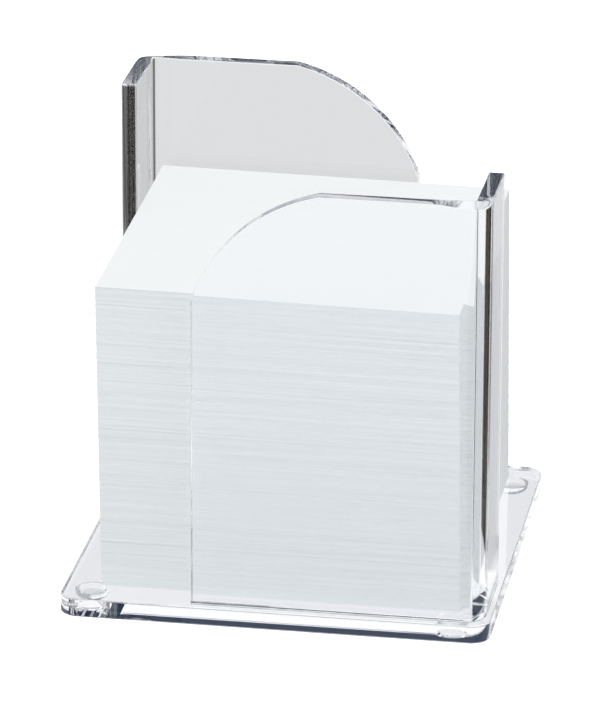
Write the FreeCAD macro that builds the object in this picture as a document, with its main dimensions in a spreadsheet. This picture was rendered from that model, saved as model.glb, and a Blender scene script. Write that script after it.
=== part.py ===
import FreeCAD
import Part
import math
import os
import Sketcher
from enum import IntEnum

# Clear holder for a cube of loose square notes, with the notes in it. A square plate stands on
# four small bumper feet. Two equal sheets, each bent once into a corner, stand on the plate at
# the front right and the rear left, so that the other two corners stay open for the fingers.
# The notes lie loose on the plate between the sheets.
# Frame: millimetres, +Z up, +Y to the rear, origin under the middle of the plate, level with
# what the feet stand on.

DRIVING_SIZES = {
    "note_side_length": 90.0,
    "note_thickness": 0.1,
    "pile_height": 78.7,
    "note_clearance": 3.5,
    "note_shift_back": 1.0,
    "plate_thickness": 4.8,
    "plate_ledge": 1.3,
    "plate_corner_radius": 5.0,
    "plate_edge_break": 0.4,
    "wall_thickness": 4.0,
    "wall_height": 108.0,
    "wide_wing_length": 73.0,
    "narrow_wing_length": 26.5,
    "bend_inner_radius": 0.5,
    "bend_outer_radius": 6.0,
    "corner_cut_width": 31.5,
    "corner_cut_height": 28.5,
    "corner_arc_radius": 43.5,
    "wall_edge_break": 0.4,
    "cut_overrun": 2.0,
    "foot_diameter": 8.6,
    "foot_flat_diameter": 4.4,
    "foot_height": 2.2,
    "foot_rim_height": 0.4,
    "front_left_foot_from_side": 6.7,
    "front_left_foot_from_front": 11.3,
    "front_right_foot_from_side": 9.9,
    "front_right_foot_from_front": 8.7,
    "rear_left_foot_from_side": 8.0,
    "rear_left_foot_from_rear": 8.4,
    "rear_right_foot_from_side": 7.3,
    "rear_right_foot_from_rear": 8.2,
}

doc = FreeCAD.newDocument("note_holder")
sizes = doc.addObject("Spreadsheet::Sheet", "sizes")
for row, (alias, number) in enumerate(DRIVING_SIZES.items(), start=True):
    sizes.set(f"A{row}", alias)
    sizes.set(f"B{row}", str(number))
    sizes.setAlias(f"B{row}", alias)
doc.recompute()

# Places that several pieces share, each worked out from the sheet: half the pocket between the
# walls, half the square that the walls fill, half the plate, and the levels of the plate's top
# and of the pile's top.
POCKET_HALF = "(sizes.note_side_length / 2 + sizes.note_clearance)"
WALLS_HALF = f"({POCKET_HALF} + sizes.wall_thickness)"
PLATE_HALF = f"({WALLS_HALF} + sizes.plate_ledge)"
PLATE_TOP = "(sizes.foot_height + sizes.plate_thickness)"
PILE_TOP = f"({PLATE_TOP} + sizes.pile_height)"


class Spot(IntEnum):
    """The places on a line or an arc that a sketch can hold, by their numbers there."""
    START = 1
    END = 2


class Axis(IntEnum):
    """A sketch's own axes, by their numbers there. They cross at the start of the first."""
    ACROSS = -1
    UPRIGHT = -2


ORIGIN = (Axis.ACROSS, Spot.START)
HALF_TURN = 180.0
FULL_TURN = 360.0
SMALL = 1e-6
SHARP_ANGLE = math.radians(10.0)


def value(expression):
    """The number that an expression on the sheet stands for."""
    return float(sizes.evalExpression(expression))


def new_body(label):
    """An empty body whose label names the piece."""
    body = doc.addObject("PartDesign::Body", label)
    body.Label = label
    return body


def place(body, across=None, back=None, up=None, turn=0.0):
    """Puts a body in the frame: turned about +Z, then moved by expressions on the sheet."""
    turned = FreeCAD.Rotation(FreeCAD.Vector(0, 0, 1), turn)
    body.Placement = FreeCAD.Placement(FreeCAD.Vector(), turned)
    for axis, expression in (("x", across), ("y", back), ("z", up)):
        if expression is not None:
            body.setExpression(f"Placement.Base.{axis}", expression)


def new_sketch(body, name, plane):
    """A sketch flat on one of the body's own origin planes."""
    support = [face for face in body.Origin.OriginFeatures if face.Role == plane][0]
    sketch = body.newObject("Sketcher::SketchObject", name)
    sketch.AttachmentSupport = [(support, "")]
    sketch.MapMode = "FlatFace"
    return sketch


def line(sketch, start, end):
    return sketch.addGeometry(Part.LineSegment(FreeCAD.Vector(*start), FreeCAD.Vector(*end)), False)


def arc(sketch, centre, radius, start, end):
    """An arc from the start to the end by the shorter way round its centre."""
    middle = FreeCAD.Vector(*start) + FreeCAD.Vector(*end) - FreeCAD.Vector(*centre) * 2
    middle.normalize()
    middle = FreeCAD.Vector(*centre) + middle * radius
    through = Part.Arc(FreeCAD.Vector(*start), middle, FreeCAD.Vector(*end))
    return sketch.addGeometry(through, False)


def end_at(sketch, piece, corner):
    """Which end of a line or an arc lies at a corner of the outline."""
    corner = FreeCAD.Vector(*corner)
    return min((Spot.START, Spot.END), key=lambda end: (sketch.getPoint(piece, end) - corner).Length)


def join(sketch, pieces, corners, tangent=()):
    """Closes an outline: piece i starts at corner i and ends at the next. The corners whose
    numbers are in tangent are smooth."""
    for number, corner in enumerate(corners):
        before, after = pieces[number - 1], pieces[number]
        kind = "Tangent" if number in tangent else "Coincident"
        ends = (before, end_at(sketch, before, corner), after, end_at(sketch, after, corner))
        sketch.addConstraint(Sketcher.Constraint(kind, *ends))


def level(sketch, *pieces):
    for piece in pieces:
        sketch.addConstraint(Sketcher.Constraint("Horizontal", piece))


def upright(sketch, *pieces):
    for piece in pieces:
        sketch.addConstraint(Sketcher.Constraint("Vertical", piece))


def dimension(sketch, name, kind, expression, *where):
    """Adds a named dimension and ties it to the sheet."""
    number = sketch.addConstraint(Sketcher.Constraint(kind, *where, value(expression)))
    sketch.renameConstraint(number, name)
    sketch.setExpression(f"Constraints.{name}", expression)


def check_sketch(sketch):
    """Stops the build if an outline is left loose or can't be solved."""
    doc.recompute()
    if sketch.solve() or not sketch.FullyConstrained:
        raise SystemExit(f"{sketch.Label} is not fully constrained")


def pad(body, name, sketch, expression):
    """Raises an outline by a height on the sheet."""
    solid = body.newObject("PartDesign::Pad", name)
    solid.Profile = sketch
    solid.Type = "Length"
    solid.setExpression("Length", expression)
    doc.recompute()
    return solid


def centred_square(body, name, half):
    """A square sketch whose middle is the body's origin. The half side is an expression."""
    sketch = new_sketch(body, name, "XY_Plane")
    reach = value(half)
    corners = [(-reach, -reach), (reach, -reach), (reach, reach), (-reach, reach)]
    pieces = [line(sketch, corners[number - 1], corners[number]) for number in (1, 2, 3, 0)]
    join(sketch, pieces, corners)
    level(sketch, pieces[0], pieces[2])
    upright(sketch, pieces[1], pieces[3])
    dimension(sketch, "right_of_middle", "DistanceX", half, *ORIGIN, pieces[1], Spot.START)
    dimension(sketch, "behind_middle", "DistanceY", half, *ORIGIN, pieces[2], Spot.START)
    dimension(sketch, "left_of_middle", "DistanceX", half, pieces[3], Spot.START, *ORIGIN)
    dimension(sketch, "before_middle", "DistanceY", half, pieces[0], Spot.START, *ORIGIN)
    check_sketch(sketch)
    return sketch


def edge_names(shape, wanted):
    """Names of the edges of a shape that a test picks."""
    return [f"Edge{number}" for number, edge in enumerate(shape.Edges, start=True) if wanted(edge)]


def is_sharp(shape, edge):
    """True where the two faces at an edge meet at an angle, false where they run smooth."""
    middle = edge.valueAt((edge.FirstParameter + edge.LastParameter) / 2)
    normals = []
    for face in shape.ancestorsOfType(edge, Part.Face):
        along, across = face.Surface.parameter(middle)
        normals.append(face.normalAt(along, across))
    return normals[0].getAngle(normals[1]) > SHARP_ANGLE


def break_edges(body, name, base, edges, expression):
    """Takes the sharpness off edges with a narrow chamfer."""
    chamfer = body.newObject("PartDesign::Chamfer", name)
    chamfer.Base = (base, edges)
    chamfer.setExpression("Size", expression)
    doc.recompute()
    return chamfer


# Base plate: sawn square from clear sheet, corners rounded, both rims broken and polished.
def make_base_plate():
    body = new_body("base_plate")
    place(body, up="sizes.foot_height")
    outline = centred_square(body, "plate_outline", PLATE_HALF)
    slab = pad(body, "plate_slab", outline, "sizes.plate_thickness")
    corners = body.newObject("PartDesign::Fillet", "plate_corners")
    thickness = value("sizes.plate_thickness")
    corners.Base = (slab, edge_names(slab.Shape, lambda edge: edge.BoundBox.ZLength > thickness / 2))
    corners.setExpression("Radius", "sizes.plate_corner_radius")
    doc.recompute()
    rims = edge_names(corners.Shape, lambda edge: edge.BoundBox.ZLength < SMALL)
    break_edges(body, "plate_rims", corners, rims, "sizes.plate_edge_break")
    return body


# Corner wall: one sheet, line-bent to a right angle. Seen from above it is an L that is nearly
# sharp inside the bend and rounder outside, where the hot sheet was drawn a little thinner. The
# wide wing's free top corner is cut off along an arc of larger radius than the cut, so the arc
# meets the top and the side at a slight angle. Every edge but the cemented foot is broken.
def make_corner_wall(label, turn):
    body = new_body(label)
    place(body, up=PLATE_TOP, turn=turn)
    outer = value(WALLS_HALF)
    inner = value(POCKET_HALF)
    inner_radius = value("sizes.bend_inner_radius")
    outer_radius = value("sizes.bend_outer_radius")
    wide_end = outer - value("sizes.wide_wing_length")
    narrow_end = value("sizes.narrow_wing_length") - outer
    inner_centre = (inner - inner_radius, inner_radius - inner)
    outer_centre = (outer - outer_radius, outer_radius - outer)

    plan = new_sketch(body, f"{label}_plan", "XY_Plane")
    corners = [
        (wide_end, -outer),
        (outer_centre[0], -outer),
        (outer, outer_centre[1]),
        (outer, narrow_end),
        (inner, narrow_end),
        (inner, inner_centre[1]),
        (inner_centre[0], -inner),
        (wide_end, -inner),
    ]
    pieces = [
        line(plan, corners[0], corners[1]),
        arc(plan, outer_centre, outer_radius, corners[1], corners[2]),
        line(plan, corners[2], corners[3]),
        line(plan, corners[3], corners[4]),
        line(plan, corners[4], corners[5]),
        arc(plan, inner_centre, inner_radius, corners[5], corners[6]),
        line(plan, corners[6], corners[7]),
        line(plan, corners[7], corners[0]),
    ]
    (outer_face, outer_bend, outer_side, narrow_edge,
     inner_side, inner_bend, inner_face, wide_edge) = pieces
    join(plan, pieces, corners, tangent=(1, 2, 5, 6))
    level(plan, outer_face, inner_face, narrow_edge)
    upright(plan, outer_side, inner_side, wide_edge)
    dimension(plan, "bend_inner_radius", "Radius", "sizes.bend_inner_radius", inner_bend)
    dimension(plan, "bend_outer_radius", "Radius", "sizes.bend_outer_radius", outer_bend)
    dimension(plan, "front_reach", "DistanceY", WALLS_HALF, outer_face, Spot.START, *ORIGIN)
    dimension(plan, "side_reach", "DistanceX", WALLS_HALF, *ORIGIN, outer_side, Spot.START)
    dimension(plan, "wide_thickness", "DistanceY", "sizes.wall_thickness",
              outer_face, Spot.START, inner_face, Spot.END)
    dimension(plan, "narrow_thickness", "DistanceX", "sizes.wall_thickness",
              inner_side, Spot.START, outer_side, Spot.END)
    dimension(plan, "wide_wing", "DistanceX", "sizes.wide_wing_length",
              wide_edge, Spot.END, outer_side, Spot.START)
    dimension(plan, "narrow_wing", "DistanceY", "sizes.narrow_wing_length",
              outer_face, Spot.START, outer_side, Spot.END)
    check_sketch(plan)
    blank = pad(body, f"{label}_blank", plan, "sizes.wall_height")

    # The waste lies in the wide wing's plane, drawn from the sheet's own free top corner.
    waste = new_sketch(body, f"{label}_waste", "XZ_Plane")
    waste.setExpression("AttachmentOffset.Base.x", f"{WALLS_HALF} - sizes.wide_wing_length")
    waste.setExpression("AttachmentOffset.Base.y", "sizes.wall_height")
    width = value("sizes.corner_cut_width")
    height = value("sizes.corner_cut_height")
    radius = value("sizes.corner_arc_radius")
    over = value("sizes.cut_overrun")
    chord = math.hypot(width, height)
    drop = math.sqrt(radius ** 2 - (chord / 2) ** 2) / chord
    arc_centre = (width / 2 + height * drop, -height / 2 - width * drop)
    corners = [(0, -height), (width, 0), (width, over), (-over, over), (-over, -height)]
    pieces = [arc(waste, arc_centre, radius, corners[0], corners[1])]
    pieces += [line(waste, corners[number - 1], corners[number]) for number in (2, 3, 4, 0)]
    cut_edge, cut_right, cut_top, cut_left, cut_foot = pieces
    join(waste, pieces, corners)
    level(waste, cut_top, cut_foot)
    upright(waste, cut_right, cut_left)
    low_end = end_at(waste, cut_edge, corners[0])
    high_end = end_at(waste, cut_edge, corners[1])
    waste.addConstraint(Sketcher.Constraint("PointOnObject", cut_edge, low_end, Axis.UPRIGHT))
    waste.addConstraint(Sketcher.Constraint("PointOnObject", cut_edge, high_end, Axis.ACROSS))
    dimension(waste, "cut_height", "DistanceY", "sizes.corner_cut_height", cut_edge, low_end, *ORIGIN)
    dimension(waste, "cut_width", "DistanceX", "sizes.corner_cut_width", *ORIGIN, cut_edge, high_end)
    dimension(waste, "cut_radius", "Radius", "sizes.corner_arc_radius", cut_edge)
    dimension(waste, "over_top", "DistanceY", "sizes.cut_overrun",
              cut_right, Spot.START, cut_right, Spot.END)
    dimension(waste, "over_side", "DistanceX", "sizes.cut_overrun",
              cut_foot, Spot.START, cut_foot, Spot.END)
    check_sketch(waste)
    cut = body.newObject("PartDesign::Pocket", f"{label}_cut")
    cut.Profile = waste
    cut.Type = "ThroughAll"
    cut.SideType = "Symmetric"
    doc.recompute()
    if blank.Shape.Volume - cut.Shape.Volume < SMALL:
        raise SystemExit(f"{label}: the corner cut took nothing off")

    thickness = value("sizes.wall_thickness")

    def is_rim(edge):
        crosses_sheet = abs(edge.Length - thickness) < SMALL
        on_foot = edge.BoundBox.ZMax < SMALL
        return not crosses_sheet and not on_foot and is_sharp(cut.Shape, edge)

    rims = edge_names(cut.Shape, is_rim)
    break_edges(body, f"{label}_rims", cut, rims, "sizes.wall_edge_break")
    return body


# Bumper foot: clear soft moulding, stuck to the plate by its wide face. Half its section is
# turned about its own axis: flat where it stands, then a dome up to a narrow upright rim.
def make_foot(label, across, back):
    body = new_body(label)
    place(body, across=across, back=back)
    flat = value("sizes.foot_flat_diameter") / 2
    reach = value("sizes.foot_diameter") / 2
    top = value("sizes.foot_height")
    shoulder = top - value("sizes.foot_rim_height")
    dome_radius = ((reach - flat) ** 2 + shoulder ** 2) / (2 * shoulder)
    section = new_sketch(body, f"{label}_section", "XZ_Plane")
    corners = [(0, 0), (flat, 0), (reach, shoulder), (reach, top), (0, top)]
    pieces = [
        line(section, corners[0], corners[1]),
        arc(section, (flat, dome_radius), dome_radius, corners[1], corners[2]),
        line(section, corners[2], corners[3]),
        line(section, corners[3], corners[4]),
        line(section, corners[4], corners[0]),
    ]
    flat_edge, dome, rim, seat, axis = pieces
    join(section, pieces, corners, tangent=(1,))
    level(section, flat_edge, seat)
    upright(section, rim, axis)
    section.addConstraint(Sketcher.Constraint("Coincident", flat_edge, Spot.START, *ORIGIN))
    dimension(section, "flat", "DistanceX", "sizes.foot_flat_diameter / 2",
              *ORIGIN, flat_edge, Spot.END)
    dimension(section, "reach", "DistanceX", "sizes.foot_diameter / 2", *ORIGIN, rim, Spot.END)
    dimension(section, "rim_height", "DistanceY", "sizes.foot_rim_height",
              rim, Spot.START, rim, Spot.END)
    dimension(section, "height", "DistanceY", "sizes.foot_height", *ORIGIN, seat, Spot.START)
    check_sketch(section)
    turned = body.newObject("PartDesign::Revolution", f"{label}_turned")
    turned.Profile = section
    turned.ReferenceAxis = (section, ["V_Axis"])
    turned.Angle = FULL_TURN
    doc.recompute()
    return body


# Notes: square loose sheets. The top one is a piece of its own, because it is taken off first.
def make_notes(label, level_expression, height_expression):
    body = new_body(label)
    place(body, back="sizes.note_shift_back", up=level_expression)
    outline = centred_square(body, f"{label}_outline", "(sizes.note_side_length / 2)")
    pad(body, f"{label}_paper", outline, height_expression)
    return body


bodies = [make_base_plate()]
bodies.append(make_corner_wall("front_corner_wall", 0.0))
bodies.append(make_corner_wall("rear_corner_wall", HALF_TURN))
for end_name, end in (("front", -1), ("rear", 1)):
    for side_name, side in (("left", -1), ("right", 1)):
        inset = f"sizes.{end_name}_{side_name}_foot_from"
        across = f"{side} * ({PLATE_HALF} - {inset}_side)"
        back = f"{end} * ({PLATE_HALF} - {inset}_{end_name})"
        bodies.append(make_foot(f"foot_{end_name}_{side_name}", across, back))
bodies.append(make_notes("note_block", PLATE_TOP, "sizes.pile_height"))
bodies.append(make_notes("top_note", PILE_TOP, "sizes.note_thickness"))
doc.recompute()

for item in doc.Objects:
    if "Invalid" in item.State or "Error" in item.State:
        raise SystemExit(f"{item.Label} did not compute: {item.State}")
for body in bodies:
    if body.Shape.isNull() or not body.Shape.isValid() or len(body.Shape.Solids) != 1:
        raise SystemExit(f"{body.Label} is not one valid solid")

os.makedirs("parts", exist_ok=True)
for body in bodies:
    body.Shape.exportStep(os.path.join("parts", f"{body.Label}.step"))
    box = body.Shape.BoundBox
    print(f"{body.Label:18s} x {box.XMin:8.2f} {box.XMax:8.2f}  y {box.YMin:8.2f} {box.YMax:8.2f}"
          f"  z {box.ZMin:8.2f} {box.ZMax:8.2f}  volume {body.Shape.Volume:10.1f}")
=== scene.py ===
import math

import bpy
from mathutils import Matrix, Vector
from mathutils.geometry import delaunay_2d_cdt


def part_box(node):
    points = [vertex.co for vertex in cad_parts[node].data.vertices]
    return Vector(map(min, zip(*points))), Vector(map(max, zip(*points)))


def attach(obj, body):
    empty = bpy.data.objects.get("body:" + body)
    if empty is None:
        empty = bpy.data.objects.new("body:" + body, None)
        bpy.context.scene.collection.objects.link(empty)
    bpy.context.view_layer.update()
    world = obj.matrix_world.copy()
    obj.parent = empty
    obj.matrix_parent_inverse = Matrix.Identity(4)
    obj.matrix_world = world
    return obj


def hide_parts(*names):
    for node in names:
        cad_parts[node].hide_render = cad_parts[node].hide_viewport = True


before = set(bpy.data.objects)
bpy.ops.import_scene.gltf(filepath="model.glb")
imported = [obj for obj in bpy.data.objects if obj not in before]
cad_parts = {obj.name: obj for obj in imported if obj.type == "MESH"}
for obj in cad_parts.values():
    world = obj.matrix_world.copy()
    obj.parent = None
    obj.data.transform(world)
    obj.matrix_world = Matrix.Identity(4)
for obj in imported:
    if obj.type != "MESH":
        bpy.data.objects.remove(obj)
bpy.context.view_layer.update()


# Clear sheet: the plate and both corner walls are sawn from clear cast acrylic, 4 to 5 mm thick,
# and every edge is rounded over a little and polished. The faces stay as cast, very slightly wavy.
EDGE_ROUNDING = 0.0004
ROUNDING_STEPS = 4
SMOOTH_CORNER = math.radians(20.0)
SAME_POINT = 1e-9
TRIANGLES_INSIDE = 1
ACRYLIC_TINT = (0.985, 0.99, 1.0, 1.0)
ACRYLIC_REFRACTION = 1.465
CAST_FINISH = (0.004, 40.0, 0.0000012)
POLISHED_FINISH = (0.01, 450.0, 0.0000005)
DULL_FINISH = (0.03, 450.0, 0.0000012)
# A dark tint and a dimmed gleam on the rear wall's end and crease: painted shade for the dark seen
# in them.
PAINTED_DARK_TINT = (0.06, 0.055, 0.05, 1.0)
PAINTED_DARK_GLEAM = (0.25, 0.25, 0.27, 1.0)
HAZE_SCALE = 90.0
FILM_SCALE = 260.0
FILM_DIM_AT = 0.38
FILM_CLEAR_AT = 0.62


def outward_normals(outline):
    """Normals of an anticlockwise outline's edges, one for the edge that starts at each point."""
    normals = []
    for start, end in zip(outline, outline[1:] + outline[:1]):
        along = (Vector(end) - Vector(start)).normalized()
        normals.append(Vector((along.y, -along.x)))
    return normals


def drawn_in(outline, normals, distance):
    """The outline with every edge moved inwards."""
    moved = []
    for number, point in enumerate(outline):
        before, after = normals[number - 1], normals[number]
        spread = 1.0 + before.dot(after)
        moved.append(Vector(point) - (before + after) * (distance / spread))
    return moved


def fill(outline, cuts=(), patches=()):
    """Triangles over a flat outline that keep to its cuts and patches: the points, the triangles,
    and for each triangle the number of the patch it lies in or None."""
    points = [Vector(point) for point in outline]
    loops = [list(range(len(points)))]
    for patch in patches:
        loops.append(list(range(len(points), len(points) + len(patch))))
        points += [Vector(point) for point in patch]
    filled = delaunay_2d_cdt(points, list(cuts), loops, TRIANGLES_INSIDE, SAME_POINT)
    places, triangles, sources, owners = filled[0], filled[2], filled[3], filled[5]
    corners = [min(source) if source else None for source in sources]
    inside = [max(owner) - 1 if max(owner) else None for owner in owners]
    return places, corners, triangles, inside


def sawn_sheet(
    name, outline, thickness, shaped,
    cuts=(), patches_out=(), patches_in=(), edge_slots=None,
):
    """A sheet sawn to an outline, its edges rounded over. shaped() bends it: it takes a place on
    the flat sheet, along, up and out of its middle plane, and gives the place and the three
    directions there. Faces get slot 0 where they are cast, 1 where they are polished, 2 in the
    patches of the outer face and 3 in those of the inner face. Edges that differ get theirs from
    edge_slots."""
    normals = outward_normals(outline)
    half = thickness / 2
    spots, faces, slots, turned = [], [], [], []
    rings = []
    for side, steps in ((1, range(ROUNDING_STEPS + 1)), (-1, range(ROUNDING_STEPS, -1, -1))):
        for step in steps:
            angle = math.pi / 2 * step / ROUNDING_STEPS
            loop = drawn_in(outline, normals, EDGE_ROUNDING * (1 - math.sin(angle)))
            out = side * (half - EDGE_ROUNDING * (1 - math.cos(angle)))
            rings.append((len(spots), angle, side))
            spots += [(point.x, point.y, out) for point in loop]

    count = len(outline)
    for ring, next_ring in zip(rings, rings[1:]):
        first, first_angle, first_side = ring
        second, second_angle, second_side = next_ring
        for number in range(count):
            after = (number + 1) % count
            corner_normals = []
            for corner, angle, side in (
                (number, first_angle, first_side),
                (number, second_angle, second_side),
                (after, second_angle, second_side),
                (after, first_angle, first_side),
            ):
                flat = normals[number]
                neighbour = normals[number - 1] if corner == number else normals[after]
                if flat.angle(neighbour) < SMOOTH_CORNER:
                    flat = (flat + neighbour).normalized()
                flat = flat * math.sin(angle)
                corner_normals.append((flat.x, flat.y, side * math.cos(angle)))
            faces.append((first + number, second + number, second + after, first + after))
            turned.append(corner_normals)
            straight = first_angle == second_angle
            slots.append((edge_slots or {}).get(number, 1) if straight else 1)

    for ring, patches, patch_slot in ((rings[0], patches_out, 2), (rings[-1], patches_in, 3)):
        first, _, side = ring
        loop = [spots[first + number][:2] for number in range(count)]
        places, corners, triangles, inside = fill(loop, cuts, patches)
        known = {}
        for number, (place, corner) in enumerate(zip(places, corners)):
            if corner is not None and corner < count:
                known[number] = first + corner
            else:
                known[number] = len(spots)
                spots.append((place.x, place.y, side * half))
        for triangle, patch in zip(triangles, inside):
            face = [known[number] for number in triangle]
            faces.append(face if side > 0 else face[::-1])
            turned.append([(0.0, 0.0, side)] * len(face))
            slots.append(0 if patch is None else patch_slot)

    shaped_spots = [shaped(*spot) for spot in spots]
    mesh = bpy.data.meshes.new(name)
    mesh.from_pydata([spot[0] for spot in shaped_spots], [], faces)
    for polygon, slot in zip(mesh.polygons, slots):
        polygon.material_index = slot
        polygon.use_smooth = True
    custom = []
    for face, corner_normals in zip(faces, turned):
        for corner, normal in zip(face, corner_normals):
            _, along, up, out = shaped_spots[corner]
            custom.append((along * normal[0] + up * normal[1] + out * normal[2]).normalized())
    mesh.normals_split_custom_set(custom)
    mesh.validate()
    piece = bpy.data.objects.new(name, mesh)
    bpy.context.scene.collection.objects.link(piece)
    return piece


def new_material(name):
    """An empty node material, with its shader and its output."""
    material = bpy.data.materials.new(name)
    material.use_nodes = True
    nodes, links = material.node_tree.nodes, material.node_tree.links
    nodes.clear()
    output = nodes.new("ShaderNodeOutputMaterial")
    shader = nodes.new("ShaderNodeBsdfPrincipled")
    links.new(shader.outputs["BSDF"], output.inputs["Surface"])
    return material, nodes, links, shader, output


def surface_noise(nodes, links, scale, detail, stretch=(1.0, 1.0, 1.0)):
    """Cloudy noise on the piece's own coordinates, stretched along its axes."""
    place = nodes.new("ShaderNodeTexCoord")
    mapping = nodes.new("ShaderNodeMapping")
    mapping.inputs["Scale"].default_value = stretch
    noise = nodes.new("ShaderNodeTexNoise")
    noise.inputs["Scale"].default_value = scale
    noise.inputs["Detail"].default_value = detail
    links.new(place.outputs["Object"], mapping.inputs["Vector"])
    links.new(mapping.outputs["Vector"], noise.inputs["Vector"])
    return noise.outputs["Fac"]


def between(nodes, links, factor, low, high, low_at=0.35, high_at=0.65):
    """A number that goes from low to high as the factor rises."""
    spread = nodes.new("ShaderNodeMapRange")
    spread.inputs["From Min"].default_value = low_at
    spread.inputs["From Max"].default_value = high_at
    spread.inputs["To Min"].default_value = low
    spread.inputs["To Max"].default_value = high
    links.new(factor, spread.inputs["Value"])
    return spread.outputs["Result"]


def clear_acrylic(name, finish, refraction=ACRYLIC_REFRACTION, tint=ACRYLIC_TINT, gleam=None):
    """Clear cast acrylic. Faint wiping haze changes its gloss, and a low wave lies in its face. A
    finish gives the dullest roughness, and how fine and how high the wave is."""
    dullest_roughness, wave_scale, wave_height = finish
    material, nodes, links, shader, output = new_material(name)
    shader.inputs["Base Color"].default_value = tint
    shader.inputs["Transmission Weight"].default_value = 1.0
    shader.inputs["IOR"].default_value = refraction
    if gleam:
        shader.inputs["Specular Tint"].default_value = gleam
    haze = surface_noise(nodes, links, HAZE_SCALE, 3.0)
    links.new(between(nodes, links, haze, 0.0, dullest_roughness), shader.inputs["Roughness"])
    wave = surface_noise(nodes, links, wave_scale, 1.0)
    bump = nodes.new("ShaderNodeBump")
    bump.inputs["Strength"].default_value = 1.0
    bump.inputs["Distance"].default_value = wave_height
    links.new(wave, bump.inputs["Height"])
    links.new(bump.outputs["Normal"], shader.inputs["Normal"])
    return material


def joined_face(name, clearest, dimmest):
    """Where cement or adhesive wets both pieces, light passes as if they were one. The film is
    clearer in some places than in others, and where it is dim it darkens what is seen through it
    with painted shade."""
    material, nodes, links, shader, output = new_material(name)
    nodes.remove(shader)
    film = nodes.new("ShaderNodeBsdfTransparent")
    tone = nodes.new("ShaderNodeValToRGB")
    stops = zip(tone.color_ramp.elements, (FILM_DIM_AT, FILM_CLEAR_AT), (dimmest, clearest))
    for element, position, colour in stops:
        element.position = position
        element.color = (*colour, 1.0)
    links.new(surface_noise(nodes, links, FILM_SCALE, 4.0), tone.inputs["Fac"])
    links.new(tone.outputs["Color"], film.inputs["Color"])
    links.new(film.outputs["BSDF"], output.inputs["Surface"])
    return material


cast_face = clear_acrylic("acrylic_cast_face", CAST_FINISH)
polished_edge = clear_acrylic("acrylic_polished_edge", POLISHED_FINISH)
# The rear wall's free end and crease: rougher, and tinted dark with painted shade.
painted_dark_end = clear_acrylic("acrylic_end_painted_dark", DULL_FINISH, tint=PAINTED_DARK_TINT, gleam=PAINTED_DARK_GLEAM)
# Both cement films dim what is seen through the walls' feet: painted shade, mild in front, deep at
# the rear.
well_cemented = joined_face("cement_film", (0.97, 0.97, 0.98), (0.80, 0.81, 0.83))
cement_with_painted_shade = joined_face("cement_film_painted_dim", (0.70, 0.72, 0.76), (0.20, 0.23, 0.30))
stuck_joint = joined_face("adhesive_film", (1.0, 1.0, 1.0), (0.97, 0.97, 0.97))


# Corner walls: each is one strip of 4 mm sheet, its free top corner sawn off along an arc, then
# bent hot to a right angle over a heated line, and cemented to the plate by its foot. The rear
# one's
# free end and the crease inside its bend are rougher and tinted dark, and its cement film is dim:
# the tint and the dim film are painted shade.
WALL_THICKNESS = 0.004
BEND_INSIDE = 0.0005
BEND_OUTSIDE = 0.0060
REAR_BEND_OUTSIDE = 0.0040
BEND_LENGTH = 0.005
BEND_STEPS = 20
BEND_RUN_OUT = 0.010
RUN_OUT_STEPS = 6
DRAWN_MIDDLE_SHARE = 0.35
DRAWN_BEFORE_SHARE = 0.8
DRAWN_AFTER_SHARE = 0.45
EDGE_DIP = 0.0010
REAR_EDGE_DIP = 0.0006
EDGE_RISE = 0.0003
CUT_WIDTH = 0.0315
CUT_HEIGHT = 0.0285
CUT_ARC = 0.0435
CUT_STEPS = 28
CORNER_ROUNDING = 0.0006
CORNER_STEPS = 4
CREASE_MARGIN = 0.00044

wall_low, wall_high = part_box("front_corner_wall")
wall_height = wall_high.z - wall_low.z
outer_centre = Vector((wall_high.x - BEND_OUTSIDE, wall_low.y + BEND_OUTSIDE))
inner_centre = Vector((
    wall_high.x - WALL_THICKNESS - BEND_INSIDE,
    wall_low.y + WALL_THICKNESS + BEND_INSIDE,
))
bend_start = outer_centre.x - wall_low.x
bend_end = bend_start + BEND_LENGTH
strip_length = bend_end + wall_high.y - outer_centre.y
centre_gap = inner_centre.x - outer_centre.x


def bent(along, up, out, outside=BEND_OUTSIDE, dip=EDGE_DIP):
    """Where a place on the flat strip comes to lie once the strip is bent, with the directions
    along the strip, up and out of its middle plane there. The bend is sharper inside than outside.
    At its top the sheet's edge is drawn down on the outside and pushed up on the inside."""
    angle = math.pi / 2 * min(max((along - bend_start) / BEND_LENGTH, 0.0), 1.0)
    forward = Vector((math.cos(angle), math.sin(angle), 0.0))
    outward = Vector((math.sin(angle), -math.cos(angle), 0.0))
    before = min(along - bend_start, 0.0)
    after = max(along - bend_end, 0.0)
    run = min(after / BEND_RUN_OUT, 1.0) - min(-before / BEND_RUN_OUT, 1.0)
    sharper = BEND_OUTSIDE - outside
    outer_turn = Vector((outer_centre.x + sharper, outer_centre.y - sharper, 0.0))
    inner_turn = Vector((*inner_centre, 0.0))
    outer = outer_turn + outward * outside + forward * (before + after + sharper * run)
    inner = inner_turn + outward * BEND_INSIDE + forward * (before + after + centre_gap * run)
    place = inner.lerp(outer, 0.5 + out / WALL_THICKNESS)

    past_bend = along - bend_start - BEND_LENGTH * DRAWN_MIDDLE_SHARE
    share = DRAWN_BEFORE_SHARE if past_bend < 0 else DRAWN_AFTER_SHARE
    reach = BEND_LENGTH / 2 + BEND_RUN_OUT * share
    away = min(max(past_bend / reach, -1.0), 1.0)
    drawn = math.cos(away * math.pi / 2) ** 2 if up > wall_height / 2 else 0.0
    drawn_slope = -math.pi / 2 / reach * math.sin(away * math.pi) if drawn else 0.0
    tilt = -(dip + EDGE_RISE) / WALL_THICKNESS
    lift = (EDGE_RISE - dip) / 2 + tilt * out
    place.z = wall_low.z + up + lift * drawn
    upward = Vector((0.0, 0.0, 1.0)) - forward * (lift * drawn_slope) - outward * (tilt * drawn)
    return place, forward, upward, outward


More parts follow.
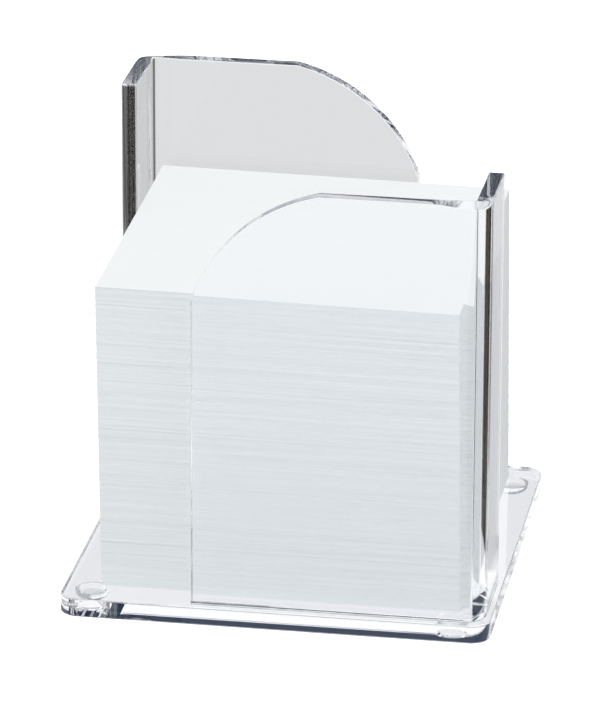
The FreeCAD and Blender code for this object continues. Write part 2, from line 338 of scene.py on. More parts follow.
def turned_half_round(along, up, out):
    """The same for the rear wall, which is the front one turned half round on the plate. Its bend
    came out sharper outside, with its edge drawn down less."""
    half_round = Matrix.Rotation(math.pi, 3, "Z")
    shaped = bent(along, up, out, REAR_BEND_OUTSIDE, REAR_EDGE_DIP)
    return tuple(half_round @ direction for direction in shaped)


run_out = [BEND_RUN_OUT * (step + 1) / RUN_OUT_STEPS for step in range(RUN_OUT_STEPS)]
bend_marks = [bend_start - mark for mark in reversed(run_out)]
bend_marks += [bend_start + BEND_LENGTH * step / BEND_STEPS for step in range(BEND_STEPS + 1)]
bend_marks += [bend_end + mark for mark in run_out]
strip_outline = [(0.0, 0.0)] + [(mark, 0.0) for mark in bend_marks] + [(strip_length, 0.0)]
edge_slots = {number: 2 for number in range(len(strip_outline) - 1)}
edge_slots[len(strip_outline) - 1] = 3
for step in range(CORNER_STEPS + 1):
    angle = math.pi / 2 * step / CORNER_STEPS
    strip_outline.append((
        strip_length - CORNER_ROUNDING * (1 - math.cos(angle)),
        wall_height - CORNER_ROUNDING * (1 - math.sin(angle)),
    ))
strip_outline += [(mark, wall_height) for mark in reversed(bend_marks)]
chord = math.hypot(CUT_WIDTH, CUT_HEIGHT)
drop = math.sqrt(CUT_ARC ** 2 - (chord / 2) ** 2) / chord
arc_centre = Vector((
    CUT_WIDTH / 2 + CUT_HEIGHT * drop,
    wall_height - CUT_HEIGHT / 2 - CUT_WIDTH * drop,
))
arc_high = Vector((CUT_WIDTH, wall_height)) - arc_centre
arc_low = Vector((0.0, wall_height - CUT_HEIGHT)) - arc_centre
high_angle = math.atan2(arc_high.y, arc_high.x)
low_angle = math.atan2(arc_low.y, arc_low.x)
for step in range(CUT_STEPS + 1):
    angle = high_angle + (low_angle - high_angle) * step / CUT_STEPS
    strip_outline.append(tuple(arc_centre + Vector((math.cos(angle), math.sin(angle))) * CUT_ARC))

first_foot_mark = 1
last_top_mark = len(bend_marks) + 1 + CORNER_STEPS + 1 + len(bend_marks)
bend_cuts = [
    (first_foot_mark + number, last_top_mark - number) for number in range(len(bend_marks))
]
crease_inset = BEND_LENGTH / BEND_STEPS / 2
crease_start, crease_end = bend_start + crease_inset, bend_end - crease_inset
crease_top = wall_height - CREASE_MARGIN
crease = [
    (crease_start, CREASE_MARGIN),
    (crease_end, CREASE_MARGIN),
    (crease_end, crease_top),
    (crease_start, crease_top),
]

for name, shaped, film, end in (
    ("front_corner_wall", bent, well_cemented, polished_edge),
    ("rear_corner_wall", turned_half_round, cement_with_painted_shade, painted_dark_end),
):
    wall = sawn_sheet(
        f"{name}_sheet", strip_outline, WALL_THICKNESS, shaped,
        cuts=bend_cuts, patches_in=(crease,), edge_slots=edge_slots,
    )
    for material in (cast_face, polished_edge, film, end):
        wall.data.materials.append(material)
    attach(wall, "holder")
    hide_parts(name)


# Base plate: a square of thicker clear sheet with its corners rounded. The walls are cemented on
# top of it, and the bumper feet are stuck below it.
PLATE_CORNER = 0.005
PLATE_CORNER_STEPS = 14
PLATE_REFRACTION = 1.435
FOOT_RADIUS = 0.0043
FOOT_STEPS = 48

plate_low, plate_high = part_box("base_plate")
plate_middle = (plate_low + plate_high) / 2
plate_half = (plate_high.x - plate_low.x) / 2
plate_outline = []
for quarter, (across, back) in enumerate(((1, -1), (1, 1), (-1, 1), (-1, -1))):
    for step in range(PLATE_CORNER_STEPS + 1):
        angle = math.pi / 2 * (quarter - 1 + step / PLATE_CORNER_STEPS)
        reach = plate_half - PLATE_CORNER
        plate_outline.append((
            across * reach + PLATE_CORNER * math.cos(angle),
            back * reach + PLATE_CORNER * math.sin(angle),
        ))


def flat_on_plate(along, up, out):
    """A place on the plate, which stays flat."""
    place = Vector((along, up, plate_middle.z + out))
    return place, Vector((1.0, 0.0, 0.0)), Vector((0.0, 1.0, 0.0)), Vector((0.0, 0.0, 1.0))


def footprint(shaped):
    """Where a wall's foot is cemented down, as an outline on the plate."""
    marks = [0.0] + bend_marks + [strip_length]
    reach = WALL_THICKNESS / 2 - EDGE_ROUNDING
    outer = [shaped(mark, 0.0, reach)[0] for mark in marks]
    inner = [shaped(mark, 0.0, -reach)[0] for mark in reversed(marks)]
    return [(place.x, place.y) for place in outer + inner]


plate_face = clear_acrylic("acrylic_plate_face", CAST_FINISH, PLATE_REFRACTION)
plate_edge = clear_acrylic("acrylic_plate_edge", POLISHED_FINISH, PLATE_REFRACTION)

foot_names = ("foot_front_left", "foot_front_right", "foot_rear_left", "foot_rear_right")
foot_centres = {}
for name in foot_names:
    low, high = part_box(name)
    foot_centres[name] = Vector(((low.x + high.x) / 2, (low.y + high.y) / 2))


def round_foot(centre, radius):
    """The points of a circle round a foot's middle."""
    circle = []
    for step in range(FOOT_STEPS):
        angle = math.tau * step / FOOT_STEPS
        circle.append((centre.x + radius * math.cos(angle), centre.y + radius * math.sin(angle)))
    return circle


foot_seats = [round_foot(centre, FOOT_RADIUS) for centre in foot_centres.values()]
plate = sawn_sheet(
    "base_plate_sheet", plate_outline, plate_high.z - plate_low.z, flat_on_plate,
    patches_out=(footprint(bent), footprint(turned_half_round)), patches_in=foot_seats,
)
for material in (plate_face, plate_edge, well_cemented, stuck_joint):
    plate.data.materials.append(material)
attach(plate, "holder")
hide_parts("base_plate")


# Bumper feet: clear soft polyurethane drops with a flattened dome, stuck under the plate's corners
# by their wide face.
FOOT_FLAT_RADIUS = 0.0022
FOOT_RIM = 0.0004
DOME_STEPS = 10
FOOT_SHARP_FROM = math.radians(40.0)
BUMPER_TINT = (0.96, 0.965, 0.965, 1.0)
BUMPER_REFRACTION = 1.49
BUMPER_GLOSSIEST = 0.02
BUMPER_DULLEST = 0.12
BUMPER_HAZE_SCALE = 900.0

bumper_clear, nodes, links, shader, output = new_material("bumper_clear")
shader.inputs["Base Color"].default_value = BUMPER_TINT
shader.inputs["Transmission Weight"].default_value = 1.0
shader.inputs["IOR"].default_value = BUMPER_REFRACTION
haze = surface_noise(nodes, links, BUMPER_HAZE_SCALE, 2.0)
links.new(between(nodes, links, haze, BUMPER_GLOSSIEST, BUMPER_DULLEST), shader.inputs["Roughness"])

foot_low, foot_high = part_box("foot_front_left")
shoulder = foot_high.z - foot_low.z - FOOT_RIM
spread = FOOT_RADIUS - FOOT_FLAT_RADIUS
dome_radius = (spread ** 2 + shoulder ** 2) / (2 * shoulder)
dome_turn = math.asin(spread / dome_radius)
foot_profile = [(FOOT_RADIUS, foot_high.z), (FOOT_RADIUS, foot_low.z + shoulder)]
for step in range(DOME_STEPS):
    angle = dome_turn * (DOME_STEPS - 1 - step) / DOME_STEPS
    foot_profile.append((
        FOOT_FLAT_RADIUS + dome_radius * math.sin(angle),
        foot_low.z + dome_radius * (1 - math.cos(angle)),
    ))

for name, centre in foot_centres.items():
    spots, faces = [], []
    for radius, height in foot_profile:
        spots += [(*point, height) for point in round_foot(centre, radius)]
    for level in range(len(foot_profile) - 1):
        for step in range(FOOT_STEPS):
            upper, lower = level * FOOT_STEPS, (level + 1) * FOOT_STEPS
            after = (step + 1) % FOOT_STEPS
            faces.append((upper + step, lower + step, lower + after, upper + after))
    seat = list(range(FOOT_STEPS))
    stand = list(range(len(spots) - FOOT_STEPS, len(spots)))
    faces += [seat, stand[::-1]]
    mesh = bpy.data.meshes.new(f"{name}_bumper")
    mesh.from_pydata(spots, [], faces)
    for polygon in mesh.polygons:
        polygon.use_smooth = True
    mesh.polygons[len(faces) - 2].material_index = 1
    mesh.set_sharp_from_angle(angle=FOOT_SHARP_FROM)
    foot = bpy.data.objects.new(f"{name}_bumper", mesh)
    bpy.context.scene.collection.objects.link(foot)
    mesh.materials.append(bumper_clear)
    mesh.materials.append(stuck_joint)
    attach(foot, "holder")
    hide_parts(name)


# Notes: about 790 loose square sheets of white paper, cut in bunches, so that sheets and bunches
# stand a hair proud of one another. They lie on the plate with nothing to hold them, so the pile
# leans a little and is not quite level on top.
SHEET_THICKNESS = 0.0001
SHEET_FILL_SHARE = 0.97
SHEET_SCATTER = 0.00004
SHEET_TWIST = math.radians(0.05)
BUNCH_SCATTER = 0.00018
BUNCH_SCALE = 0.11
PILE_LIFT = 0.00002
PILE_LEAN = Vector((-0.00106, 0.0, 0.0))
PILE_TILT = Vector((0.0133, 0.0119, 0.0))
PAPER_ROUGHNESS = 0.9
PAPER_GLEAM = 0.2
PAPER_RELIEF = 0.35
PAPER_COARSE_SHARE = 0.4


def white_paper(name, stretch, scales, dark, light, rise, low_at, high_at):
    """Uncoated white paper. Two sizes of noise, blended, change its tone and raise its surface."""
    material, nodes, links, shader, output = new_material(name)
    shader.inputs["Roughness"].default_value = PAPER_ROUGHNESS
    shader.inputs["Specular IOR Level"].default_value = PAPER_GLEAM
    blend = nodes.new("ShaderNodeMix")
    blend.data_type = "FLOAT"
    blend.inputs["Factor"].default_value = PAPER_COARSE_SHARE
    for scale, socket in zip(scales, ("A", "B")):
        links.new(surface_noise(nodes, links, scale, 3.0, stretch), blend.inputs[socket])
    tone = nodes.new("ShaderNodeValToRGB")
    stops = zip(tone.color_ramp.elements, (low_at, high_at), (dark, light))
    for element, position, colour in stops:
        element.position = position
        element.color = (*colour, 1.0)
    links.new(blend.outputs["Result"], tone.inputs["Fac"])
    links.new(tone.outputs["Color"], shader.inputs["Base Color"])
    bump = nodes.new("ShaderNodeBump")
    bump.inputs["Strength"].default_value = PAPER_RELIEF
    bump.inputs["Distance"].default_value = rise
    links.new(blend.outputs["Result"], bump.inputs["Height"])
    links.new(bump.outputs["Normal"], shader.inputs["Normal"])
    return material


paper_face = white_paper(
    "paper_face", stretch=(1.0, 1.0, 1.0), scales=(900.0, 120.0),
    dark=(0.835, 0.845, 0.85), light=(0.85, 0.86, 0.862), rise=0.00001, low_at=0.3, high_at=0.7,
)
cut_paper = white_paper(
    "paper_cut_edges", stretch=(0.012, 0.012, 1.0), scales=(2600.0, 700.0),
    dark=(0.79, 0.81, 0.82), light=(0.85, 0.86, 0.865), rise=0.00003, low_at=0.35, high_at=0.65,
)

pile_low, pile_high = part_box("note_block")
pile_middle = (pile_low + pile_high) / 2
note_side = pile_high.x - pile_low.x
sheet_count = round((pile_high.z - pile_low.z - PILE_LIFT) / SHEET_THICKNESS)

stacking = bpy.data.node_groups.new("stack_of_notes", "GeometryNodeTree")
stacking.is_modifier = True
sockets = stacking.interface
sockets.new_socket("Geometry", in_out="OUTPUT", socket_type="NodeSocketGeometry")
stack_inputs = {}
for label, kind in (
    ("Sheets", "NodeSocketInt"),
    ("Side", "NodeSocketFloat"),
    ("Sheet thickness", "NodeSocketFloat"),
    ("Foot", "NodeSocketVector"),
    ("Sheet scatter", "NodeSocketFloat"),
    ("Bunch scatter", "NodeSocketFloat"),
    ("Twist", "NodeSocketFloat"),
    ("Lean", "NodeSocketVector"),
    ("Tilt", "NodeSocketVector"),
    ("Seed", "NodeSocketInt"),
    ("Cut edges", "NodeSocketMaterial"),
    ("Faces", "NodeSocketMaterial"),
):
    stack_inputs[label] = sockets.new_socket(label, in_out="INPUT", socket_type=kind).identifier

tree, wires = stacking.nodes, stacking.links
given = tree.new("NodeGroupInput")
result = tree.new("NodeGroupOutput")


def wire(source, target):
    """One wire of the stack's tree."""
    wires.new(source, target)


def vector_maths(operation, first, second=None, factor=None):
    """One step of reckoning with outputs that are directions."""
    node = tree.new("ShaderNodeVectorMath")
    node.operation = operation
    wire(first, node.inputs[0])
    if second is not None:
        wire(second, node.inputs[1])
    if factor is not None:
        wire(factor, node.inputs["Scale"])
    return node.outputs[0]


def number_maths(operation, first, second):
    """One step of reckoning with numbers, given as they are or as outputs."""
    node = tree.new("ShaderNodeMath")
    node.operation = operation
    for socket, given_number in zip(node.inputs, (first, second)):
        if isinstance(given_number, float):
            socket.default_value = given_number
        else:
            wire(given_number, socket)
    return node.outputs[0]


step_up = tree.new("ShaderNodeCombineXYZ")
wire(given.outputs["Sheet thickness"], step_up.inputs["Z"])
levels = tree.new("GeometryNodeMeshLine")
wire(given.outputs["Sheets"], levels.inputs["Count"])
wire(given.outputs["Foot"], levels.inputs["Start Location"])
wire(step_up.outputs["Vector"], levels.inputs["Offset"])

sheet_number = tree.new("GeometryNodeInputIndex")
own = tree.new("FunctionNodeRandomValue")
own.data_type = "FLOAT_VECTOR"
own.inputs[0].default_value = (-1.0, -1.0, 0.0)
own.inputs[1].default_value = (1.0, 1.0, 0.0)
wire(sheet_number.outputs["Index"], own.inputs["ID"])
wire(given.outputs["Seed"], own.inputs["Seed"])
own_shift = vector_maths("SCALE", own.outputs[0], factor=given.outputs["Sheet scatter"])

bunch = tree.new("ShaderNodeTexNoise")
bunch.noise_dimensions = "1D"
bunch.inputs["Scale"].default_value = BUNCH_SCALE
bunch.inputs["Detail"].default_value = 3.0
wire(sheet_number.outputs["Index"], bunch.inputs["W"])
centred = tree.new("ShaderNodeVectorMath")
centred.operation = "SUBTRACT"
centred.inputs[1].default_value = (0.5, 0.5, 0.5)
wire(bunch.outputs["Color"], centred.inputs[0])
levelled = tree.new("ShaderNodeVectorMath")
levelled.operation = "MULTIPLY"
levelled.inputs[1].default_value = (2.0, 2.0, 0.0)
wire(centred.outputs[0], levelled.inputs[0])
bunch_shift = vector_maths("SCALE", levelled.outputs[0], factor=given.outputs["Bunch scatter"])

height_share = number_maths("DIVIDE", sheet_number.outputs["Index"], given.outputs["Sheets"])
from_middle = number_maths("SUBTRACT", height_share, 0.5)
lean_shift = vector_maths("SCALE", given.outputs["Lean"], factor=from_middle)
scatter = vector_maths("ADD", own_shift, bunch_shift)
shifted = tree.new("GeometryNodeSetPosition")
wire(levels.outputs["Mesh"], shifted.inputs["Geometry"])
wire(vector_maths("ADD", scatter, lean_shift), shifted.inputs["Offset"])

twist = tree.new("FunctionNodeRandomValue")
twist.data_type = "FLOAT"
twist.inputs[2].default_value = -1.0
twist.inputs[3].default_value = 1.0
wire(sheet_number.outputs["Index"], twist.inputs["ID"])
wire(given.outputs["Seed"], twist.inputs["Seed"])
own_turn = tree.new("ShaderNodeCombineXYZ")
wire(number_maths("MULTIPLY", twist.outputs[1], given.outputs["Twist"]), own_turn.inputs["Z"])
tilt = vector_maths("SCALE", given.outputs["Tilt"], factor=height_share)
turn = vector_maths("ADD", own_turn.outputs["Vector"], tilt)

sheet_size = tree.new("ShaderNodeCombineXYZ")
wire(given.outputs["Side"], sheet_size.inputs["X"])
wire(given.outputs["Side"], sheet_size.inputs["Y"])
filled_thickness = number_maths("MULTIPLY", given.outputs["Sheet thickness"], SHEET_FILL_SHARE)
wire(filled_thickness, sheet_size.inputs["Z"])
sheet = tree.new("GeometryNodeMeshCube")
wire(sheet_size.outputs["Vector"], sheet.inputs["Size"])
facing = tree.new("GeometryNodeInputNormal")
facing_parts = tree.new("ShaderNodeSeparateXYZ")
wire(facing.outputs["Normal"], facing_parts.inputs["Vector"])
flat = tree.new("ShaderNodeMath")
flat.operation = "ABSOLUTE"
wire(facing_parts.outputs["Z"], flat.inputs[0])
is_flat = tree.new("FunctionNodeCompare")
is_flat.operation = "GREATER_THAN"
is_flat.inputs["B"].default_value = 0.5
wire(flat.outputs[0], is_flat.inputs["A"])

stacked = tree.new("GeometryNodeInstanceOnPoints")
wire(shifted.outputs["Geometry"], stacked.inputs["Points"])
wire(sheet.outputs["Mesh"], stacked.inputs["Instance"])
wire(turn, stacked.inputs["Rotation"])
real = tree.new("GeometryNodeRealizeInstances")
wire(stacked.outputs["Instances"], real.inputs["Geometry"])
edged = tree.new("GeometryNodeSetMaterial")
wire(real.outputs["Geometry"], edged.inputs["Geometry"])
wire(given.outputs["Cut edges"], edged.inputs["Material"])
faced = tree.new("GeometryNodeSetMaterial")
wire(edged.outputs["Geometry"], faced.inputs["Geometry"])
wire(is_flat.outputs["Result"], faced.inputs["Selection"])
wire(given.outputs["Faces"], faced.inputs["Material"])
wire(faced.outputs["Geometry"], result.inputs["Geometry"])

stacker = bpy.data.objects.new("note_pile_maker", bpy.data.meshes.new("note_pile_maker"))
bpy.context.scene.collection.objects.link(stacker)
stack = stacker.modifiers.new("stack", "NODES")
stack.node_group = stacking
for label, number in (
    ("Sheets", sheet_count),
    ("Side", note_side),
    ("Sheet thickness", SHEET_THICKNESS),
    ("Foot", (pile_middle.x, pile_middle.y, pile_low.z + PILE_LIFT + SHEET_THICKNESS / 2)),
    ("Sheet scatter", SHEET_SCATTER),
    ("Bunch scatter", BUNCH_SCATTER),
    ("Twist", SHEET_TWIST),
    ("Lean", PILE_LEAN),
    ("Tilt", PILE_TILT),
    ("Seed", 7),
    ("Cut edges", cut_paper),
    ("Faces", paper_face),
):
    stack[stack_inputs[label]] = number
stacker.update_tag()
bpy.context.view_layer.update()
stacked_up = stacker.evaluated_get(bpy.context.evaluated_depsgraph_get())
made = bpy.data.meshes.new_from_object(stacked_up)
made.name = "note_pile_sheets"
bpy.data.objects.remove(stacker)
pile = bpy.data.objects.new("note_pile_sheets", made)
bpy.context.scene.collection.objects.link(pile)
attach(pile, "note_pile")
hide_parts("note_block")


# Top note: the uppermost sheet, the next to be taken. It lies on the pile and is a little wavy,
# as paper is that has taken up some damp.
TOP_STEPS = 24
TOP_WAVE = 0.00006
TOP_FILL_SHARE = 0.9
WAVES_ACROSS = 5.1
WAVES_BACK = 4.3
WAVE_START_ACROSS = 0.4
WAVE_START_BACK = 1.1
TOP_SHARP_FROM = math.radians(40.0)

top_low, top_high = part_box("top_note")
spots, faces = [], []
for level in (0, 1):
    for row in range(TOP_STEPS + 1):
        for column in range(TOP_STEPS + 1):
            across, back = column / TOP_STEPS, row / TOP_STEPS
            wave_across = math.sin(across * WAVES_ACROSS + WAVE_START_ACROSS)
            wave_back = math.sin(back * WAVES_BACK + WAVE_START_BACK)
            rise = TOP_WAVE * (0.5 + 0.5 * wave_across * wave_back)
            slope = note_side * (PILE_TILT.x * (back - 0.5) - PILE_TILT.y * (across - 0.5))
            spots.append((
                top_low.x + (top_high.x - top_low.x) * across + PILE_LEAN.x / 2,
                top_low.y + (top_high.y - top_low.y) * back + PILE_LEAN.y / 2,
                top_low.z + PILE_LIFT + rise + slope + SHEET_THICKNESS * TOP_FILL_SHARE * level,
            ))
row_length = TOP_STEPS + 1
upper = row_length * row_length
for row in range(TOP_STEPS):
    for column in range(TOP_STEPS):
        first = row * row_length + column
        square = (first, first + 1, first + row_length + 1, first + row_length)
        faces.append(square[::-1])
        faces.append(tuple(upper + corner for corner in square))
rim = list(range(row_length))
rim += [row * row_length + TOP_STEPS for row in range(1, row_length)]
rim += [TOP_STEPS * row_length + column for column in range(TOP_STEPS - 1, -1, -1)]
rim += [row * row_length for row in range(TOP_STEPS - 1, 0, -1)]
for start, end in zip(rim, rim[1:] + rim[:1]):
    faces.append((start, end, upper + end, upper + start))
mesh = bpy.data.meshes.new("top_note_sheet")
mesh.from_pydata(spots, [], faces)
for polygon in mesh.polygons:
    polygon.use_smooth = True
    polygon.material_index = 0 if abs(polygon.normal.z) > 0.5 else 1
mesh.set_sharp_from_angle(angle=TOP_SHARP_FROM)
mesh.materials.append(paper_face)
mesh.materials.append(cut_paper)
top_note = bpy.data.objects.new("top_note_sheet", mesh)
bpy.context.scene.collection.objects.link(top_note)
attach(top_note, "loose_note")
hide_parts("top_note")


# Studio: a plain white table that is lit and also glows, burnt out to white where it is seen
# straight on. What the clear sheet leads the eye to is the table's painted glow, dimmer farther
# back, and the unlit room behind. What its edges mirror is dimmer still: painted shade on the
# table for a dark stand to the right, and painted shade round the holder.
FLOOR_REACH = 6.0
FLOOR_DROP = 0.00005
TABLE_GLOW_NEAR = 1.04
TABLE_GLOW_FAR = 0.725
FAR_FROM = 0.09
FAR_TO = 0.26
BURNT_TABLE = (0.92, 0.92, 0.92, 1.0)
BURNT_GLOW = 0.6
SHADE_SOFTNESS = 0.003
# The tone of the dark stand, painted onto the table as a painted reflection.
PAINTED_STAND_TONE = (0.030, 0.022, 0.015, 1.0)

# Each painted shade on the table goes from left to right and from front to rear, and has a tone. An
# earlier one lies over a later one, and all but one show only in what the sheet mirrors, as painted
# reflections. The dark stand is no object: it is painted onto the table as a dark patch.
PAINTED_SHADES = (
    ("under the front wall", 0.012, 0.0255, -0.0560, -0.0480, (0.030, 0.036, 0.055, 1.0)),
    ("under the rear wall", -0.056, 0.035, 0.040, 0.0540, (0.070, 0.074, 0.090, 1.0)),
    ("just before the plate", -0.070, 0.070, -0.070, -0.0575, (0.25, 0.25, 0.26, 1.0)),
    ("under the plate's front", -0.044, 0.070, -0.0480, -0.030, (0.90, 0.905, 0.92, 1.0)),
    ("dark stand", 0.088, 0.45, -0.020, 0.20, PAINTED_STAND_TONE),
    ("back of the dark stand", 0.120, 0.45, 0.19, 0.24, PAINTED_STAND_TONE),
    ("front of the dark stand", 0.085, 0.30, -0.30, -0.060, (0.07, 0.065, 0.06, 1.0)),
    ("shade of the stand", 0.058, 0.45, 0.0, 0.60, (0.59, 0.59, 0.61, 1.0)),
    ("deep shade of the stand", 0.045, 0.45, 0.185, 0.60, (0.25, 0.245, 0.24, 1.0)),
    ("behind the holder", -0.010, 0.045, 0.22, 0.60, (0.50, 0.50, 0.49, 1.0)),
)
SEEN_THROUGH = ("under the plate's front",)

TABLE_TONE = (0.99, 1.0, 1.01, 1.0)
# What the paper sees of the table glows darker near the holder, which is painted shade, and
# brighter farther out.
SHADED_TABLE_ON_PAPER_NEAR = (0.62, 0.645, 0.66, 1.0)
TABLE_ON_PAPER_FAR = (0.92, 0.945, 0.96, 1.0)
ON_PAPER_FROM = 0.06
ON_PAPER_TO = 0.40
UNLIT_TABLE_FROM = 0.03
UNLIT_TABLE_TO = 0.07
HORIZON_ON_PAPER = (1.11, 1.15, 1.165, 1.0)
OVERHEAD_ON_PAPER = (1.16, 1.165, 1.16, 1.0)
ROOM_ON_PAPER = (0.30, 0.305, 0.31, 1.0)
HORIZON_LIGHT = (0.80, 0.81, 0.82, 1.0)
OVERHEAD_LIGHT = (1.45, 1.46, 1.47, 1.0)
ROOM_BEHIND = (0.022, 0.036, 0.075, 1.0)
ROOM_DIRECTION = (0.38, 0.92, 0.0)
ROOM_SIDE = (-0.12, 0.10)
ROOM_TOP = (0.52, 0.72)
ROOM_SIDE_ON_PAPER = (0.10, 0.45)
ROOM_TOP_ON_PAPER = (0.35, 0.60)
WHITE = (1.0, 1.0, 1.0, 1.0)
LONGEST_LIGHT_PATH = 128
MOST_JOINTS_CROSSED = 32


def product(nodes, links, *factors):
    """The factors multiplied together."""
    result = factors[0]
    for factor in factors[1:]:
        times = nodes.new("ShaderNodeMath")
        times.operation = "MULTIPLY"
        links.new(result, times.inputs[0])
        links.new(factor, times.inputs[1])
        result = times.outputs[0]
    return result


def blended(nodes, links, factor, first, second):
    """A colour between two that are given as values or as outputs."""
    mix = nodes.new("ShaderNodeMix")
    mix.data_type = "RGBA"
    links.new(factor, mix.inputs["Factor"])
    for colour, socket in ((first, mix.inputs[6]), (second, mix.inputs[7])):
        if isinstance(colour, tuple):
            socket.default_value = colour
        else:
            links.new(colour, socket)
    return mix.outputs[2]


def kinds_of_sight(nodes, links):
    """Three switches: 1 where the eye looks straight on, 1 where the clear sheet leads the eye, and
    1 where it does so by way of a reflection."""
    path = nodes.new("ShaderNodeLightPath")
    led = nodes.new("ShaderNodeMath")
    led.operation = "MAXIMUM"
    links.new(path.outputs["Is Glossy Ray"], led.inputs[0])
    links.new(path.outputs["Is Transmission Ray"], led.inputs[1])
    before_paper = between(nodes, links, path.outputs["Diffuse Depth"], 1.0, 0.0, 0.0, 1.0)
    led_on = product(nodes, links, led.outputs[0], before_paper)
    mirrored = between(nodes, links, path.outputs["Glossy Depth"], 0.0, 1.0, 0.0, 1.0)
    return path.outputs["Is Camera Ray"], led_on, mirrored


floor_mesh = bpy.data.meshes.new("studio_floor")
floor_corners = [
    (across * FLOOR_REACH, back * FLOOR_REACH, -FLOOR_DROP)
    for across, back in ((-1, -1), (1, -1), (1, 1), (-1, 1))
]
floor_mesh.from_pydata(floor_corners, [], [(0, 1, 2, 3)])
floor = bpy.data.objects.new("studio_floor", floor_mesh)
bpy.context.scene.collection.objects.link(floor)
table_top, nodes, links, shader, output = new_material("table_top")
table_top.cycles.emission_sampling = "NONE"
place = nodes.new("ShaderNodeTexCoord")
parts = nodes.new("ShaderNodeSeparateXYZ")
links.new(place.outputs["Object"], parts.inputs["Vector"])
straight_on, led_on, mirrored = kinds_of_sight(nodes, links)
across, back = parts.outputs["X"], parts.outputs["Y"]
glow = between(nodes, links, back, TABLE_GLOW_NEAR, TABLE_GLOW_FAR, FAR_FROM, FAR_TO)
table_light = nodes.new("ShaderNodeVectorMath")
table_light.operation = "SCALE"
table_light.inputs[0].default_value = TABLE_TONE[:3]
links.new(glow, table_light.inputs["Scale"])
led_sight = table_light.outputs[0]
for label, left, right, front, rear, tone in reversed(PAINTED_SHADES):
    shade = product(
        nodes, links,
        between(nodes, links, across, 0.0, 1.0, left - SHADE_SOFTNESS, left),
        between(nodes, links, across, 1.0, 0.0, right, right + SHADE_SOFTNESS),
        between(nodes, links, back, 0.0, 1.0, front - SHADE_SOFTNESS, front),
        between(nodes, links, back, 1.0, 0.0, rear, rear + SHADE_SOFTNESS),
    )
    if label not in SEEN_THROUGH:
        shade = product(nodes, links, shade, mirrored)
    led_sight = blended(nodes, links, shade, led_sight, tone)
away = nodes.new("ShaderNodeVectorMath")
away.operation = "LENGTH"
links.new(place.outputs["Object"], away.inputs[0])
far = between(nodes, links, away.outputs["Value"], 0.0, 1.0, ON_PAPER_FROM, ON_PAPER_TO)
on_paper = blended(nodes, links, far, SHADED_TABLE_ON_PAPER_NEAR, TABLE_ON_PAPER_FAR)
unlit = between(nodes, links, back, 0.0, 1.0, UNLIT_TABLE_FROM, UNLIT_TABLE_TO)
on_paper = blended(nodes, links, unlit, on_paper, ROOM_ON_PAPER)
links.new(blended(nodes, links, led_on, on_paper, led_sight), shader.inputs["Emission Color"])
shader.inputs["Emission Strength"].default_value = 1.0
shader.inputs["Base Color"].default_value = (0.0, 0.0, 0.0, 1.0)
shader.inputs["Specular IOR Level"].default_value = 0.0
shader.inputs["Roughness"].default_value = 1.0
burnt = nodes.new("ShaderNodeBsdfPrincipled")
burnt.inputs["Base Color"].default_value = BURNT_TABLE
burnt.inputs["Roughness"].default_value = 1.0
burnt.inputs["Emission Color"].default_value = WHITE
burnt.inputs["Emission Strength"].default_value = BURNT_GLOW
either = nodes.new("ShaderNodeMixShader")
links.new(straight_on, either.inputs["Fac"])
links.new(shader.outputs["BSDF"], either.inputs[1])
links.new(burnt.outputs["BSDF"], either.inputs[2])
links.new(either.outputs["Shader"], output.inputs["Surface"])
floor_mesh.materials.append(table_top)

studio = bpy.data.worlds.new("studio")
bpy.context.scene.world = studio
studio.use_nodes = True
nodes, links = studio.node_tree.nodes, studio.node_tree.links
nodes.clear()
output = nodes.new("ShaderNodeOutputWorld")
around = nodes.new("ShaderNodeBackground")
direction = nodes.new("ShaderNodeTexCoord")
parts = nodes.new("ShaderNodeSeparateXYZ")
links.new(direction.outputs["Generated"], parts.inputs["Vector"])
straight_on, led_on, _ = kinds_of_sight(nodes, links)
backwards = nodes.new("ShaderNodeVectorMath")
backwards.operation = "DOT_PRODUCT"
backwards.inputs[1].default_value = ROOM_DIRECTION
links.new(direction.outputs["Generated"], backwards.inputs[0])
unlit = product(
    nodes, links,
    between(nodes, links, backwards.outputs["Value"], 0.0, 1.0, *ROOM_SIDE),
    between(nodes, links, parts.outputs["Z"], 1.0, 0.0, *ROOM_TOP),
)
height = between(nodes, links, parts.outputs["Z"], 0.0, 1.0, 0.0, 1.0)
lit = blended(nodes, links, height, HORIZON_LIGHT, OVERHEAD_LIGHT)
led_sight = blended(nodes, links, unlit, lit, ROOM_BEHIND)
on_paper = blended(nodes, links, height, HORIZON_ON_PAPER, OVERHEAD_ON_PAPER)
behind = product(
    nodes, links,
    between(nodes, links, parts.outputs["Y"], 0.0, 1.0, *ROOM_SIDE_ON_PAPER),
    between(nodes, links, parts.outputs["Z"], 1.0, 0.0, *ROOM_TOP_ON_PAPER),
)
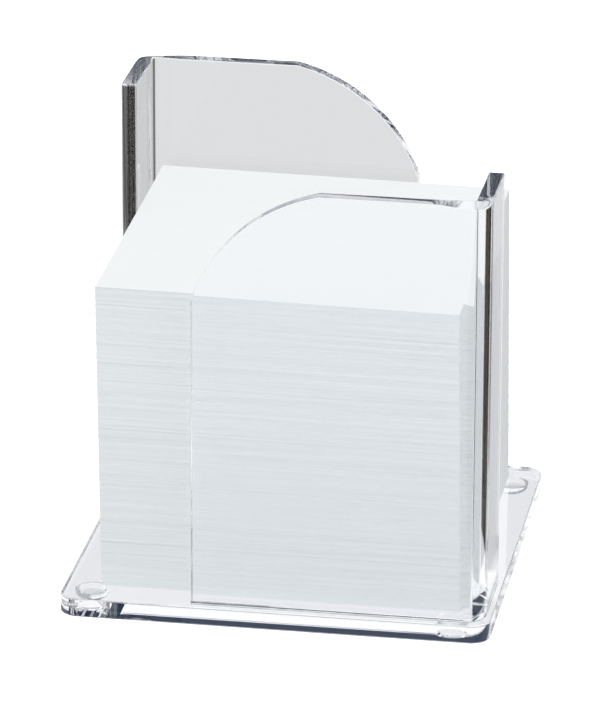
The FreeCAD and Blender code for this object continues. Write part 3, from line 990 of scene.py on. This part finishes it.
on_paper = blended(nodes, links, behind, on_paper, ROOM_ON_PAPER)
around_light = blended(nodes, links, led_on, on_paper, led_sight)
links.new(blended(nodes, links, straight_on, around_light, WHITE), around.inputs["Color"])
links.new(around.outputs["Background"], output.inputs["Surface"])

scene = bpy.context.scene
scene.view_settings.view_transform = "Standard"
scene.cycles.max_bounces = LONGEST_LIGHT_PATH
scene.cycles.glossy_bounces = LONGEST_LIGHT_PATH
scene.cycles.transmission_bounces = LONGEST_LIGHT_PATH
scene.cycles.transparent_max_bounces = MOST_JOINTS_CROSSED
scene.cycles.blur_glossy = 0.0


# Camera: a long lens in front of the holder, a little to its right, looking down on it.
CAMERA_YAW = math.radians(9.375)
CAMERA_PITCH = math.radians(20.624)
CAMERA_ROLL = math.radians(0.230)
CAMERA_DISTANCE = 1.48155
AIM_ACROSS = -0.001969
AIM_UP = 0.054022
FILM_WIDTH = 36.0
FOCAL_LENGTH = 296.83
NEAREST_SEEN = 0.01

back = Vector((
    math.sin(CAMERA_YAW) * math.cos(CAMERA_PITCH),
    -math.cos(CAMERA_YAW) * math.cos(CAMERA_PITCH),
    math.sin(CAMERA_PITCH),
))
level_right = Vector((math.cos(CAMERA_YAW), math.sin(CAMERA_YAW), 0.0))
level_up = back.cross(level_right)
right = level_right * math.cos(CAMERA_ROLL) + level_up * math.sin(CAMERA_ROLL)
upwards = level_up * math.cos(CAMERA_ROLL) - level_right * math.sin(CAMERA_ROLL)
eye = level_right * AIM_ACROSS + Vector((0.0, 0.0, AIM_UP)) + back * CAMERA_DISTANCE
lens = bpy.data.cameras.new("camera")
lens.sensor_width = FILM_WIDTH
lens.lens = FOCAL_LENGTH
lens.clip_start = NEAREST_SEEN
camera = bpy.data.objects.new("camera", lens)
scene.collection.objects.link(camera)
camera.matrix_world = Matrix((
    (right.x, upwards.x, back.x, eye.x),
    (right.y, upwards.y, back.y, eye.y),
    (right.z, upwards.z, back.z, eye.z),
    (0.0, 0.0, 0.0, 1.0),
))
scene.camera = camera
